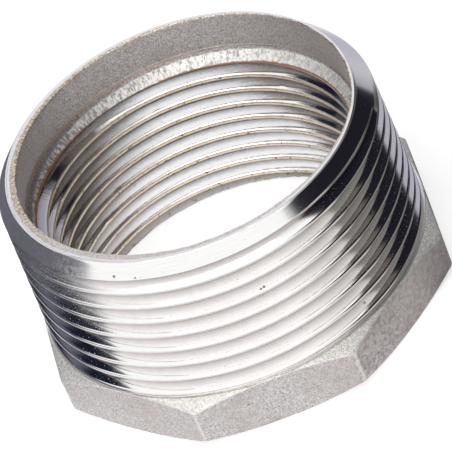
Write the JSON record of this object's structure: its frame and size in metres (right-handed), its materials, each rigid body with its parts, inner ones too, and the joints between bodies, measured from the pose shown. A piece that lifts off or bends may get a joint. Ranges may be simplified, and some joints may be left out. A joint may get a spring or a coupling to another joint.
{
  "type": "pipe reducing bush",
  "caption": "Threaded stainless reducing bush: eight-sided head, tapered male pipe thread, smaller female thread right through it and a counterbored rim.",
  "frame": {"origin": "centre of the head's bottom face, on the bush's axis", "axes": "+Z along the bush's axis, from the head to the rim of the male end; +X square to the middle of one head flat"},
  "size_m": [0.0488, 0.0488, 0.0265],
  "materials": {
    "stainless_steel": "blasted as-cast head and recess, bright turned threads and rim"
  },
  "bodies": {
    "root": {"reducing_bush": "stainless_steel"}
  },
  "joints": []
}
